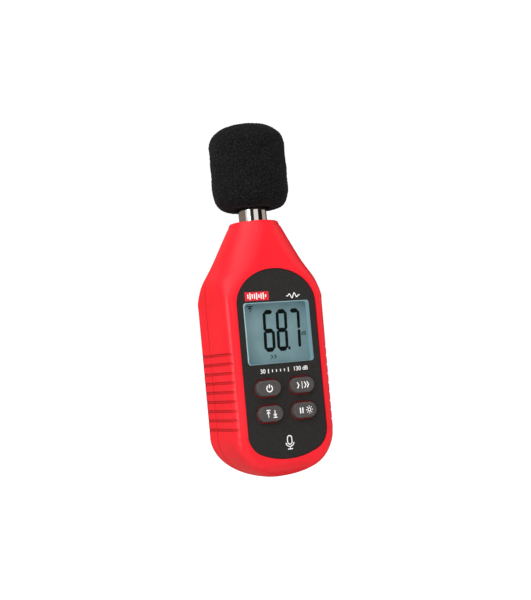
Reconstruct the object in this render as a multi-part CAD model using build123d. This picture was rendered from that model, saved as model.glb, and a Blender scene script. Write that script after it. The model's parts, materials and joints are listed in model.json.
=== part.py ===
from build123d import *
from math import asin, copysign, cos, degrees, pi, radians, sin, sqrt, tan
import os

# Handheld sound level meter, in millimetres. Z runs up the microphone's axis, the display faces -Y
# and +X is to the right as the display is read. While a piece is drawn, z is its height above the
# foot of the case and y = 0 is the case's flat back. The finished pieces are moved down so that the
# origin is the mouth of the tripod bush.

# ---- case ----
CASE_HEIGHT = 118.2
CASE_DEPTH = 31.0
SHOULDER_HALF_WIDTH = 26.5
BODY_TAPER = 0.6             # how much narrower each side is at the foot
WALL = 2.2
EDGE_RADIUS = 4.5
AXIS_DEPTH = 15.0            # microphone axis behind the flat front
SEAM_DEPTH = 19.6            # joint between the shells behind the flat front
SEAM_GAP = 0.26
LIP_DEPTH = 1.5              # how far the back shell's lip reaches into the front shell
LIP_CLEARANCE = 0.1

# ---- neck and cone above the shoulders ----
NECK_WALL = 5.8              # neck around the microphone tube
COLLAR_HEIGHT = 2.5
COLLAR_STEP = 0.1            # collar inside the top of the cone
COLLAR_TAPER = 0.9
COLLAR_ROUND = 0.7
CONE_ANGLE = 28.8            # slope of the sides from the axis
SHOULDER_EASE = 0.8          # how far the shoulder's corner is rounded off
CONE_HEIGHT = 35.7           # from the top of the straight body to the collar
FACE_MARGIN = 0.6            # flat front above the label's arch
CORNER_RISE = 3.0            # above the body the upright edges start to open out
CORNER_GROWTH = 0.71         # growth of their radius per millimetre of height
CORNER_FLAT = 0.4            # half of the narrowest flat left between two rounded edges
CORNER_EASE = 0.15           # rounding of that growth's end, on the body
CORNER_CONE_EASE = 1.5       # and what is added to it up the cone
CORNER_EASE_RISE = 10.0
CAVITY_DROP = 9.7            # roof of the cavity below the collar

# ---- rounded foot: a quarter ellipse each way ----
SIDE_FOOT = 20.3
FRONT_FOOT = 7.3
FRONT_TUCK = 13.0
BACK_FOOT = 18.8
BACK_TUCK = 14.0
FOOT_SWEEP = 0.99            # the ellipses stop here, which leaves a small flat at the tip
FOOT_STEPS = 8               # sections through the foot
CONE_STEPS = 10              # sections through the cone

# ---- finger grooves on both sides ----
GROOVE_COUNT = 9
GROOVE_PITCH = 4.21
GROOVE_BOTTOM = 23.95
GROOVE_HEIGHT = 1.3
GROOVE_DEPTH = 0.5
GROOVE_FRONT = 1.0           # rounded end, behind the flat front
GROOVE_BACK = 1.6            # rounded end, in front of the flat back

# ---- face label, display window and keys ----
LABEL_RIM = 5.75             # case seen beside the label
LABEL_BOTTOM = 8.6
LABEL_ARCH_DROP = 1.2        # foot of the label's arch below the top of the body
LABEL_ARCH_HEIGHT = 16.3
LABEL_FOOT_RADIUS = 37.0
LABEL_CORNER_RADIUS = 10.0
LABEL_RECESS = 0.9
LABEL_THICKNESS = 0.5
LABEL_CLEARANCE = 0.15
WINDOW_WIDTH = 34.8
WINDOW_HEIGHT = 28.1
WINDOW_DROP = 27.0           # foot of the window below the foot of the arch
WINDOW_CORNER = 1.5
WINDOW_CLEARANCE = 0.1
WINDOW_PROUD = 0.3           # window above the label
WINDOW_BEVEL = 0.35
WINDOW_FLANGE = 1.5
WINDOW_FLANGE_THICKNESS = 0.8
KEY_WIDTH = 12.2
KEY_HEIGHT = 7.0
KEY_GAP_X = 5.6
KEY_GAP_Z = 4.5
KEY_LOWER_Z = 29.5
KEY_PROUD = 2.2              # key above the label
KEY_CLEARANCE = 0.3
KEY_RING = 0.45              # shell seen round each key inside the label's hole
KEY_FLANGE = 1.0
KEY_FLANGE_THICKNESS = 0.8
KEY_CROWN = 0.5
KEY_TRAVEL = 0.9
KEY_REST_GAP = 0.2           # key flange behind the shell at rest

# ---- board and what stands on it ----
BOARD_THICKNESS = 1.6
BOARD_DEPTH = 9.0            # board's front behind the flat front
BOARD_SIDE_GAP = 2.0         # between the board's edge and the case's wall
BOARD_BOTTOM = 12.0
BOARD_ROOF_GAP = 3.0         # between the board's top and the cavity's roof
BOARD_TOP_HALF_WIDTH = 9.0
BOARD_TAPER_SHARE = 0.79     # of the side gap, taken up by the cone where the board's taper starts
BOARD_CORNER = 3.0
BOARD_CLEARANCE = 0.4
SWITCH_SIZE = 6.0
SWITCH_CORNER = 0.4
SWITCH_HEIGHT = 3.2
PLUNGER_RADIUS = 1.75
PLUNGER_CLEARANCE = 0.15
PLUNGER_PROUD = 1.2
PLUNGER_LENGTH = 2.1
LCD_MARGIN = 1.3             # display glass beyond the window
LCD_THICKNESS = 2.0
GASKET_THICKNESS = 0.4
GASKET_WIDTH = 1.4
LIGHT_GUIDE_THICKNESS = 2.4
ZEBRA_HEIGHT = 2.0
ZEBRA_GAP = 0.4
FRAME_WALL = 1.4
FRAME_CLEARANCE = 0.15
LED_WIDTH = 3.0
LED_HEIGHT = 1.6
LED_INSET = 3.0              # middle of each LED below the top of the light guide

# ---- parts on the back of the board: middle in x, middle above the cell bay, width, height ----
MICROCONTROLLER = (0, 6, 9, 9)
MICROCONTROLLER_LEGS = 12
DETECTOR_CHIP = (-12.5, 5, 4, 6)
PREAMP_CHIP = (0, 20, 4, 5)
SMALL_CHIP_LEGS = 4
CHIP_THICKNESS = 1.5
LEG_LENGTH = 1.0
LEG_THICKNESS = 0.5
LEG_MARGIN = 0.5             # first leg's middle from the end of the chip
CRYSTAL = (10.5, 4.5, 7.5, 3.2)
CRYSTAL_THICKNESS = 2.4
CAPACITORS = [(9.5, 12), (14.5, 12), (-8.5, 16)]
CAPACITOR_RADIUS = 2.0
CAPACITOR_HEIGHT = 3.6
RESISTOR_ROWS = [(-5.5, 14.5, 5), (-5.0, 26, 4)]     # first middle, height and count
RESISTOR_PITCH = 2.4
RESISTOR_WIDTH = 1.1
RESISTOR_HEIGHT = 2.0
RESISTOR_THICKNESS = 0.5
TRIM_POT = (8, 20, 4.6, 4.6)
TRIM_POT_THICKNESS = 3.0
TRIM_SCREW_RADIUS = 1.6
TRIM_SCREW_PROUD = 0.6

# ---- microphone ----
TUBE_RADIUS = 6.6
TUBE_WALL = 0.8
TUBE_LENGTH = 42.8
TUBE_DROP = 2.5              # end of the tube below the cavity's roof
TUBE_CLEARANCE = 0.1
SLEEVE_WALL = 1.0
CAPSULE_LENGTH = 5.0
SLEEVE_LENGTH = 7.0
GRILLE_THICKNESS = 0.6
GRILLE_RECESS = 0.5
GRILLE_HOLE_RADIUS = 0.5
GRILLE_RING_PITCH = 2.0
GRILLE_RINGS = 2
HOLDER_WALL = 2.0
HOLDER_HEIGHT = 5.4
HOLDER_RISE = 4.4            # top of the holder above the cavity's roof
SEAL_THICKNESS = 1.1
SEAL_HEIGHT = 1.4
SEAL_DEPTH = 1.9             # top of the seal below the neck's mouth
MIC_LEAD_RADIUS = 0.5
MIC_LEAD_SPACING = 5.0
MIC_LEAD_BEND = 1.6
MIC_LEAD_DROP = 3.0          # level run of the leads below the tube

# ---- windscreen ----
FOAM_RADIUS = 18.0
FOAM_HEIGHT = 40.5
FOAM_GAP = 6.4               # between the case and the foam
FOAM_DOME_HEIGHT = 11.0
FOAM_DOME_POWER = 2.4        # 2 is an ellipse, higher is squarer
FOAM_DOME_STEPS = 8
FOAM_EDGE_WIDTH = 6.0        # rounded lower edge, inwards and upwards
FOAM_EDGE_HEIGHT = 9.0
FOAM_END_GAP = 0.5           # between the tube's tip and the end of the bore
FOAM_BORE_CLEARANCE = 0.3
FOAM_MOUTH_FLARE = 1.4
FOAM_MOUTH_DEPTH = 3.3

# ---- cells and their bay ----
CELL_RADIUS = 5.2
CELL_LENGTH = 44.5
CELL_NUB_RADIUS = 1.9
CELL_NUB_HEIGHT = 0.8
CELL_COUNT = 3
CELL_GAP = 0.4
CELL_CLEARANCE = 0.3
BAY_BOTTOM = 13.8
BAY_WALL = 1.2
CONTACT_THICKNESS = 0.4
CONTACT_INSET = 1.0          # contact's edge inside the cell's
CONTACT_CLEARANCE = 0.1
SPRING_LENGTH = 4.0
SPRING_INSET = 2.2           # coil's middle inside the cell's edge
SPRING_WIRE_RADIUS = 0.336
SPRING_END_GAP = 0.014
SPRING_TURNS = 3
TAB_WIDTH = 3.0
TAB_LENGTH = 3.0
BATTERY_LEAD_RADIUS = 0.6

# ---- battery door ----
DOOR_LAND = 0.9              # door beyond the bay on each side
DOOR_THICKNESS = 2.2
DOOR_BOTTOM = 11.0
DOOR_OVERLAP = 2.6           # door above the bay
DOOR_CLEARANCE = 0.15
TONGUE_WIDTH = 0.9
TONGUE_THICKNESS = 0.8
TONGUE_MARGIN = 5.0
LATCH_HALF_WIDTH = 5.0
LATCH_LENGTH = 1.2
DOOR_GRIP_WIDTH = 15.0
DOOR_GRIP_COUNT = 5
DOOR_GRIP_PITCH = 2.0
DOOR_GRIP_DEPTH = 0.4
REAR_LABEL_WIDTH = 26.0
REAR_LABEL_HEIGHT = 20.0
REAR_LABEL_CORNER = 1.5
REAR_LABEL_THICKNESS = 0.3
REAR_LABEL_RECESS = 0.3
REAR_LABEL_Z = 31.0

# ---- screws and tripod bush ----
HOUSING_SCREW_INSET = 4.8    # from the side of the case
HOUSING_SCREW_LOWER_Z = 24.0
HOUSING_SCREW_RISE = 7.5     # upper screws above the body
POST_RADIUS = 2.5
SCREW_RADIUS = 1.05
SCREW_HEAD_RADIUS = 1.8
SCREW_HEAD_HEIGHT = 1.2
SCREW_SLOT_WIDTH = 0.36
SCREW_BITE = 5.6             # housing screw's length in the front shell
SCREW_WELL_RADIUS = 2.1
SCREW_WELL_DEPTH = 5.0
SCREW_HOLE_CLEARANCE = 0.2
BOARD_SCREW_X = 19.4
BOARD_SCREW_Z = 45.6
BOARD_SCREW_TOP_X = 7.0
BOARD_SCREW_TOP_DROP = 6.0   # upper board screws below the board's top
BOARD_SCREW_LENGTH = 5.0
STANDOFF_RADIUS = 2.1
BUSH_RISE = 9.6              # bush axis above the battery door
BUSH_RADIUS = 4.7
BUSH_BORE_RADIUS = 2.55      # 1/4 inch camera thread, minor radius
BUSH_LENGTH = 8.0
BUSH_BORE_DEPTH = 7.0
BUSH_BOSS_RADIUS = 6.7
BUSH_FLOOR = 1.4

# ---- places worked out from the sizes above ----
FRONT_Y = -CASE_DEPTH
AXIS_Y = FRONT_Y + AXIS_DEPTH
SEAM_Y = FRONT_Y + SEAM_DEPTH
BACK_REACH = CASE_DEPTH - AXIS_DEPTH
FAR = 2 * SHOULDER_HALF_WIDTH + CASE_DEPTH       # beyond the case on every side
FOOT_HALF_WIDTH = SHOULDER_HALF_WIDTH - BODY_TAPER
NECK_RADIUS = TUBE_RADIUS + NECK_WALL
NECK_BASE = CASE_HEIGHT - COLLAR_HEIGHT
BODY_TOP = NECK_BASE - CONE_HEIGHT
CORNER_START = BODY_TOP + CORNER_RISE
CAVITY_TOP = NECK_BASE - CAVITY_DROP
LABEL_HALF_WIDTH = SHOULDER_HALF_WIDTH - LABEL_RIM
LABEL_SPRING = BODY_TOP - LABEL_ARCH_DROP
FACE_TOP = LABEL_SPRING + LABEL_ARCH_HEIGHT + FACE_MARGIN
LABEL_FLOOR_Y = FRONT_Y + LABEL_RECESS
LABEL_Y = LABEL_FLOOR_Y - LABEL_THICKNESS
INNER_FRONT_Y = FRONT_Y + WALL
BOARD_Y = FRONT_Y + BOARD_DEPTH
BOARD_BACK_Y = BOARD_Y + BOARD_THICKNESS
BOARD_HALF_WIDTH = SHOULDER_HALF_WIDTH - WALL - BOARD_SIDE_GAP
BOARD_TOP = CAVITY_TOP - BOARD_ROOF_GAP
CONE_SLOPE = (SHOULDER_HALF_WIDTH - NECK_RADIUS) / CONE_HEIGHT
BOARD_TAPER_START = BODY_TOP + BOARD_TAPER_SHARE * BOARD_SIDE_GAP / CONE_SLOPE
KEY_SPACING_X = KEY_WIDTH + KEY_GAP_X
KEY_SPACING_Z = KEY_HEIGHT + KEY_GAP_Z
WINDOW_Z = LABEL_SPRING - WINDOW_DROP + WINDOW_HEIGHT / 2
WINDOW_BACK_Y = INNER_FRONT_Y + WINDOW_FLANGE_THICKNESS
LCD_Y = WINDOW_BACK_Y + GASKET_THICKNESS
LIGHT_GUIDE_Y = LCD_Y + LCD_THICKNESS
LCD_WIDTH = WINDOW_WIDTH + 2 * LCD_MARGIN
LCD_HEIGHT = WINDOW_HEIGHT + 2 * LCD_MARGIN
SWITCH_Y = BOARD_Y - SWITCH_HEIGHT
PLUNGER_Y = SWITCH_Y - PLUNGER_PROUD
TUBE_BOTTOM = CAVITY_TOP - TUBE_DROP
TUBE_TOP = TUBE_BOTTOM + TUBE_LENGTH
TUBE_BORE_RADIUS = TUBE_RADIUS - TUBE_WALL
CAPSULE_RADIUS = TUBE_BORE_RADIUS - SLEEVE_WALL
HOLDER_RADIUS = TUBE_RADIUS + HOLDER_WALL
HOLDER_TOP = CAVITY_TOP + HOLDER_RISE
SEAL_RADIUS = TUBE_RADIUS + SEAL_THICKNESS
SEAL_TOP = CASE_HEIGHT - SEAL_DEPTH
FOAM_BOTTOM = CASE_HEIGHT + FOAM_GAP
FOAM_BORE_RADIUS = TUBE_RADIUS + FOAM_BORE_CLEARANCE
FOAM_BORE_DEPTH = TUBE_TOP + FOAM_END_GAP - FOAM_BOTTOM
FOAM_MOUTH_RADIUS = TUBE_RADIUS + FOAM_MOUTH_FLARE
CELL_PITCH = 2 * CELL_RADIUS + CELL_GAP
CELL_Y = -DOOR_THICKNESS - DOOR_CLEARANCE - CELL_CLEARANCE - CELL_RADIUS
BAY_HALF_WIDTH = CELL_PITCH * (CELL_COUNT - 1) / 2 + CELL_RADIUS + CELL_CLEARANCE
BAY_HEIGHT = CELL_LENGTH + SPRING_LENGTH + 2 * CONTACT_THICKNESS + 2 * CONTACT_CLEARANCE
BAY_TOP = BAY_BOTTOM + BAY_HEIGHT
BAY_FRONT_Y = CELL_Y - CELL_RADIUS - CELL_CLEARANCE
CONTACT_HALF_HEIGHT = CELL_RADIUS - CONTACT_INSET
SPRING_RADIUS = CELL_RADIUS - SPRING_INSET
DOOR_HALF_WIDTH = BAY_HALF_WIDTH + DOOR_LAND
DOOR_TOP = BAY_TOP + DOOR_OVERLAP
BUSH_HEIGHT = DOOR_TOP + BUSH_RISE
BUSH_BOSS_LENGTH = BUSH_LENGTH + BUSH_FLOOR
HOUSING_SCREW_X = SHOULDER_HALF_WIDTH - HOUSING_SCREW_INSET
HOUSING_SCREW_TIP_Y = SEAM_Y - SCREW_BITE

KEYS = {
    "power_key": (-1, 1),
    "response_key": (1, 1),
    "peak_key": (-1, 0),
    "hold_key": (1, 0),
}
HOUSING_SCREWS = [(side * HOUSING_SCREW_X, z) for side in (-1, 1)
                  for z in (HOUSING_SCREW_LOWER_Z, BODY_TOP + HOUSING_SCREW_RISE)]
BOARD_SCREWS = [(side * x, z) for side in (-1, 1)
                for x, z in ((BOARD_SCREW_X, BOARD_SCREW_Z),
                             (BOARD_SCREW_TOP_X, BOARD_TOP - BOARD_SCREW_TOP_DROP))]


# ---- drawing helpers ----
def slab(sketch, y_near, y_far):
    """Solid of a front-view sketch, drawn in X and Z, from y_near back to y_far."""
    plane = Plane(origin=(0, y_near, 0), x_dir=(1, 0, 0), z_dir=(0, -1, 0))
    return extrude(plane * sketch, amount=y_near - y_far)


def rod(x, z, radius, y_near, y_far):
    """Round bar along Y."""
    return slab(Pos(x, z) * Circle(radius), y_near, y_far)


def block(x0, x1, y0, y1, z0, z1):
    """Box between two corners."""
    return Pos((x0 + x1) / 2, (y0 + y1) / 2, (z0 + z1) / 2) * Box(x1 - x0, y1 - y0, z1 - z0)


def upright(x, y, radius, z0, z1):
    """Round bar along Z."""
    return Pos(x, y, (z0 + z1) / 2) * Cylinder(radius, z1 - z0)


def eased_min(a, b, ease):
    """The smaller of two values, with the corner between them rounded off."""
    return (a + b) / 2 - sqrt(((a - b) / 2) ** 2 + ease ** 2)


def group(pieces):
    """Separate solids kept together in one node."""
    return Compound([solid for piece in pieces for solid in piece.solids()])


# ---- case shape ----
def foot_share(z, start, inset):
    """1 above the start of a rounded foot, falling along a quarter ellipse to its tip."""
    if z >= start:
        return 1.0
    return sqrt(1 - (FOOT_SWEEP * (start - z) / (start - inset)) ** 2)


def case_section(z, inset):
    """Rounded rectangle of the case at one height, drawn in by the inset."""
    side = FOOT_HALF_WIDTH + (SHOULDER_HALF_WIDTH - FOOT_HALF_WIDTH) * z / BODY_TOP
    side = eased_min(side, NECK_RADIUS + (NECK_BASE - z) * tan(radians(CONE_ANGLE)), SHOULDER_EASE)
    lean = max(0.0, (z - FACE_TOP) / (NECK_BASE - FACE_TOP))
    front = AXIS_DEPTH - (AXIS_DEPTH - NECK_RADIUS) * lean ** 2 - inset
    back = BACK_REACH - (BACK_REACH - NECK_RADIUS) * lean ** 2 - inset
    front -= FRONT_TUCK * (1 - foot_share(z, FRONT_FOOT, inset))
    back -= BACK_TUCK * (1 - foot_share(z, BACK_FOOT, inset))
    half_width = (side - inset) * foot_share(z, SIDE_FOOT, inset)
    half_depth = (front + back) / 2
    rise = max(0.0, z - CORNER_START)
    corner = max(EDGE_RADIUS - inset, 1.0) + rise * CORNER_GROWTH
    ease = CORNER_EASE + CORNER_CONE_EASE * min(rise / CORNER_EASE_RISE, 1.0)
    corner = eased_min(corner, min(half_width, half_depth) - CORNER_FLAT, ease)
    return Pos(0, AXIS_Y + (back - front) / 2, z) * RectangleRounded(2 * half_width, 2 * half_depth, corner)


def case_solid(inset, top):
    """The case's outer shape drawn in by the inset, from its foot to the given height."""
    foot = [inset + (SIDE_FOOT - inset) * (i / FOOT_STEPS) ** 2 for i in range(FOOT_STEPS + 1)]
    cone = [BODY_TOP + (top - BODY_TOP) * i / CONE_STEPS for i in range(CONE_STEPS + 1)]
    solid = loft([case_section(z, inset) for z in (SIDE_FOOT, BODY_TOP)], ruled=True)
    solid += loft([case_section(z, inset) for z in foot])
    return solid + loft([case_section(z, inset) for z in cone])


def case_outside():
    """Whole outside of the case with its collar."""
    foot_radius = NECK_RADIUS - COLLAR_STEP
    collar = Cone(foot_radius, foot_radius - COLLAR_TAPER, COLLAR_HEIGHT)
    collar = Pos(0, AXIS_Y, NECK_BASE + COLLAR_HEIGHT / 2) * collar
    collar = fillet(collar.edges().group_by(Axis.Z)[-1], COLLAR_ROUND)
    return case_solid(0, NECK_BASE) + collar


def groove_cutters():
    """Finger grooves: round-ended bars that reach one groove depth into both sides."""
    length = CASE_DEPTH - GROOVE_FRONT - GROOVE_BACK
    middle = (FRONT_Y + GROOVE_FRONT - GROOVE_BACK) / 2
    bar = extrude(Plane.YZ * Pos(middle, 0) * SlotOverall(length, GROOVE_HEIGHT),
                  amount=SHOULDER_HALF_WIDTH + 1, both=True)
    bars = [Pos(0, 0, GROOVE_BOTTOM + i * GROOVE_PITCH) * bar for i in range(GROOVE_COUNT)]
    return Part() + bars - case_solid(GROOVE_DEPTH, NECK_BASE)


def label_outline(grow):
    """Face label: straight sides, half-elliptic arch, shallow round foot with rounded corners."""
    half = LABEL_HALF_WIDTH + grow
    corner = LABEL_CORNER_RADIUS + grow
    foot = LABEL_FOOT_RADIUS + grow
    foot_centre = LABEL_BOTTOM + LABEL_FOOT_RADIUS
    reach = foot - corner
    corner_z = foot_centre - sqrt(reach ** 2 - (half - corner) ** 2)
    turn = degrees(asin((half - corner) / reach))
    edges = [
        EllipticalCenterArc((0, LABEL_SPRING), half, LABEL_ARCH_HEIGHT + grow, arc_size=180),
        Line((-half, LABEL_SPRING), (-half, corner_z)),
        CenterArc((corner - half, corner_z), corner, 180, 90 - turn),
        CenterArc((0, foot_centre), foot, 270 - turn, 2 * turn),
        CenterArc((half - corner, corner_z), corner, 270 + turn, 90 - turn),
        Line((half, corner_z), (half, LABEL_SPRING)),
    ]
    return make_face(edges)


def window_sketch(grow):
    """Front view of the display window, grown all round."""
    return Pos(0, WINDOW_Z) * RectangleRounded(WINDOW_WIDTH + 2 * grow, WINDOW_HEIGHT + 2 * grow,
                                               WINDOW_CORNER + grow)


def key_place(name):
    """Centre of a key in the front view."""
    column, row = KEYS[name]
    return column * KEY_SPACING_X / 2, KEY_LOWER_Z + row * KEY_SPACING_Z


def key_sketch(name, grow):
    """Front view of a key, grown all round."""
    return Pos(*key_place(name)) * SlotOverall(KEY_WIDTH + 2 * grow, KEY_HEIGHT + 2 * grow)


def screw_posts(y_near, y_far):
    """Housing screw posts, each widened out to the side of the case."""
    posts = []
    for x, z in HOUSING_SCREWS:
        middle = x + copysign(HOUSING_SCREW_INSET / 2, x)
        web = Pos(middle, z) * Rectangle(HOUSING_SCREW_INSET, 2 * POST_RADIUS)
        posts.append(slab(Pos(x, z) * Circle(POST_RADIUS) + web, y_near, y_far))
    return posts


def tube_cutters():
    """Neck bore, pocket of the tube's holder and groove of its seal."""
    return [
        upright(0, AXIS_Y, TUBE_RADIUS + TUBE_CLEARANCE, CAVITY_TOP - 1, CASE_HEIGHT + 1),
        upright(0, AXIS_Y, HOLDER_RADIUS + TUBE_CLEARANCE, CAVITY_TOP - 1, HOLDER_TOP),
        upright(0, AXIS_Y, SEAL_RADIUS, SEAL_TOP - SEAL_HEIGHT, SEAL_TOP),
    ]


def front_shell(outside, cavity, grooves):
    """Front half of the case with its posts, stand-offs and openings."""
    shell = outside - cavity
    skin = case_solid(WALL / 2, CAVITY_TOP)
    posts = screw_posts(INNER_FRONT_Y - WALL / 2, SEAM_Y)
    standoffs = [rod(x, z, STANDOFF_RADIUS, INNER_FRONT_Y - WALL / 2, BOARD_Y) for x, z in BOARD_SCREWS]
    shell = shell + [post & skin for post in posts] + standoffs
    shell -= [rod(x, z, SCREW_RADIUS, HOUSING_SCREW_TIP_Y, SEAM_Y) for x, z in HOUSING_SCREWS]
    shell -= [rod(x, z, SCREW_RADIUS, BOARD_BACK_Y - BOARD_SCREW_LENGTH, BOARD_Y) for x, z in BOARD_SCREWS]
    shell -= slab(label_outline(LABEL_CLEARANCE), FRONT_Y - 1, LABEL_FLOOR_Y)
    shell -= slab(window_sketch(WINDOW_CLEARANCE), FRONT_Y - 1, INNER_FRONT_Y + 1)
    shell -= [slab(key_sketch(name, KEY_CLEARANCE), FRONT_Y - 1, INNER_FRONT_Y + 1) for name in KEYS]
    shell -= tube_cutters()
    shell -= grooves
    shell -= block(-FAR, FAR, SEAM_Y - SEAM_GAP / 2, 1, -1, CASE_HEIGHT + 1)
    rebate = case_solid(WALL / 2 - LIP_CLEARANCE, CAVITY_TOP)
    return shell - (rebate & block(-FAR, FAR, SEAM_Y - LIP_DEPTH - LIP_CLEARANCE, 1, -1, CAVITY_TOP))


def door_cutters():
    """Room for the battery door, its tongues and its latch in the back shell."""
    gap = DOOR_CLEARANCE
    floor = -DOOR_THICKNESS - gap
    tongue = DOOR_HALF_WIDTH + TONGUE_WIDTH + gap
    return [
        block(-DOOR_HALF_WIDTH - gap, DOOR_HALF_WIDTH + gap, floor, 1, -1, DOOR_TOP + gap),
        block(-tongue, tongue, floor, floor + TONGUE_THICKNESS + 2 * gap, -1,
              DOOR_TOP - TONGUE_MARGIN + gap),
        block(-LATCH_HALF_WIDTH - gap, LATCH_HALF_WIDTH + gap, floor, floor + TONGUE_THICKNESS + 2 * gap,
              DOOR_TOP, DOOR_TOP + LATCH_LENGTH + gap),
    ]


def back_shell(outside, cavity, grooves):
    """Back half of the case with the cell bay, screw posts, bush boss and locating lip."""
    skin = case_solid(WALL / 2, CAVITY_TOP)
    shell = (outside - cavity) & block(-FAR, FAR, SEAM_Y + SEAM_GAP / 2, 1, -1, CASE_HEIGHT + 1)
    lip = block(-FAR, FAR, SEAM_Y - LIP_DEPTH, SEAM_Y + SEAM_GAP, -1, CAVITY_TOP)
    shell += (skin - cavity) & lip
    bay = block(-BAY_HALF_WIDTH - BAY_WALL, BAY_HALF_WIDTH + BAY_WALL, BAY_FRONT_Y - BAY_WALL, 0,
                BAY_BOTTOM - BAY_WALL, BAY_TOP + BAY_WALL)
    boss = rod(0, BUSH_HEIGHT, BUSH_BOSS_RADIUS, -BUSH_BOSS_LENGTH, 0)
    shell = shell + [piece & skin for piece in [bay, boss] + screw_posts(SEAM_Y - LIP_DEPTH, 0)]
    shell -= block(-BAY_HALF_WIDTH, BAY_HALF_WIDTH, BAY_FRONT_Y, 1, BAY_BOTTOM, BAY_TOP)
    shell -= door_cutters()
    shell -= [rod(x, z, SCREW_RADIUS + SCREW_HOLE_CLEARANCE, SEAM_Y - LIP_DEPTH - 1, 0)
              for x, z in HOUSING_SCREWS]
    shell -= [rod(x, z, SCREW_WELL_RADIUS, -SCREW_WELL_DEPTH, 1) for x, z in HOUSING_SCREWS]
    shell -= rod(0, BUSH_HEIGHT, BUSH_RADIUS, -BUSH_LENGTH, 1)
    shell -= [tab_block(x, z, CONTACT_CLEARANCE) for x, z in tab_places()]
    return shell - tube_cutters() - grooves


# ---- face, display and keys ----
def face_label():
    """Thin overlay with holes for the window and the keys."""
    label = slab(label_outline(0), LABEL_Y, LABEL_FLOOR_Y)
    label -= slab(window_sketch(WINDOW_CLEARANCE), LABEL_Y - 1, LABEL_FLOOR_Y + 1)
    return label - [slab(key_sketch(name, KEY_CLEARANCE + KEY_RING), LABEL_Y - 1, LABEL_FLOOR_Y + 1)
                    for name in KEYS]


def display_window():
    """Clear window, bevelled in front, with a flange behind the shell."""
    pane = slab(window_sketch(0), LABEL_Y - WINDOW_PROUD, INNER_FRONT_Y)
    pane = chamfer(pane.edges().group_by(Axis.Y)[0], WINDOW_BEVEL)
    return pane + slab(window_sketch(WINDOW_FLANGE), INNER_FRONT_Y, WINDOW_BACK_Y)


def lcd_outline(grow):
    """Front view of the display glass, grown all round."""
    return Pos(0, WINDOW_Z) * Rectangle(LCD_WIDTH + 2 * grow, LCD_HEIGHT + 2 * grow)


def display_parts():
    """Everything between the window and the board."""
    bottom = WINDOW_Z - LCD_HEIGHT / 2
    gasket = slab(lcd_outline(0), WINDOW_BACK_Y, LCD_Y)
    gasket -= slab(lcd_outline(-GASKET_WIDTH), WINDOW_BACK_Y - 1, LCD_Y + 1)
    zebra_top = bottom + ZEBRA_GAP + ZEBRA_HEIGHT
    guide_bottom = zebra_top + ZEBRA_GAP
    guide_top = bottom + LCD_HEIGHT
    guide = block(-LCD_WIDTH / 2, LCD_WIDTH / 2, LIGHT_GUIDE_Y, LIGHT_GUIDE_Y + LIGHT_GUIDE_THICKNESS,
                  guide_bottom, guide_top)
    frame = slab(lcd_outline(FRAME_CLEARANCE + FRAME_WALL), LCD_Y, BOARD_Y)
    frame -= slab(lcd_outline(FRAME_CLEARANCE), LCD_Y - 1, BOARD_Y + 1)
    zebra = block(-LCD_WIDTH / 2 + ZEBRA_HEIGHT, LCD_WIDTH / 2 - ZEBRA_HEIGHT, LIGHT_GUIDE_Y, BOARD_Y,
                  bottom + ZEBRA_GAP, zebra_top)
    led = block(-LED_WIDTH / 2, LED_WIDTH / 2, LIGHT_GUIDE_Y + LIGHT_GUIDE_THICKNESS, BOARD_Y,
                -LED_HEIGHT / 2, LED_HEIGHT / 2)
    leds = [Pos(x, 0, guide_top - LED_INSET) * led for x in (-LCD_WIDTH / 4, LCD_WIDTH / 4)]
    return {
        "lcd_gasket": gasket,
        "lcd_panel": slab(lcd_outline(0), LCD_Y, LIGHT_GUIDE_Y),
        "light_guide": guide,
        "lcd_frame": frame,
        "zebra_strip": zebra,
        "backlight_leds": group(leds),
    }


def key_parts():
    """The four keys and the switch plungers that they push."""
    parts = {}
    flange_y = INNER_FRONT_Y + KEY_REST_GAP
    for name in KEYS:
        x, z = key_place(name)
        cap = slab(key_sketch(name, 0), LABEL_Y - KEY_PROUD, flange_y)
        cap = fillet(cap.edges().group_by(Axis.Y)[0], KEY_CROWN)
        flange = slab(key_sketch(name, KEY_FLANGE), flange_y, flange_y + KEY_FLANGE_THICKNESS)
        stem = rod(x, z, PLUNGER_RADIUS, flange_y, PLUNGER_Y)
        parts[name] = cap + flange + stem
        parts[name.replace("key", "plunger")] = rod(x, z, PLUNGER_RADIUS, PLUNGER_Y,
                                                    PLUNGER_Y + PLUNGER_LENGTH)
    return parts


def key_switches():
    """Push switches on the board, each with a well for its plunger."""
    switches = []
    for name in KEYS:
        x, z = key_place(name)
        body = slab(Pos(x, z) * RectangleRounded(SWITCH_SIZE, SWITCH_SIZE, SWITCH_CORNER), SWITCH_Y, BOARD_Y)
        switches.append(body - rod(x, z, PLUNGER_RADIUS + PLUNGER_CLEARANCE, SWITCH_Y - 1,
                                   PLUNGER_Y + PLUNGER_LENGTH + KEY_TRAVEL + PLUNGER_CLEARANCE))
    return group(switches)


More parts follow.
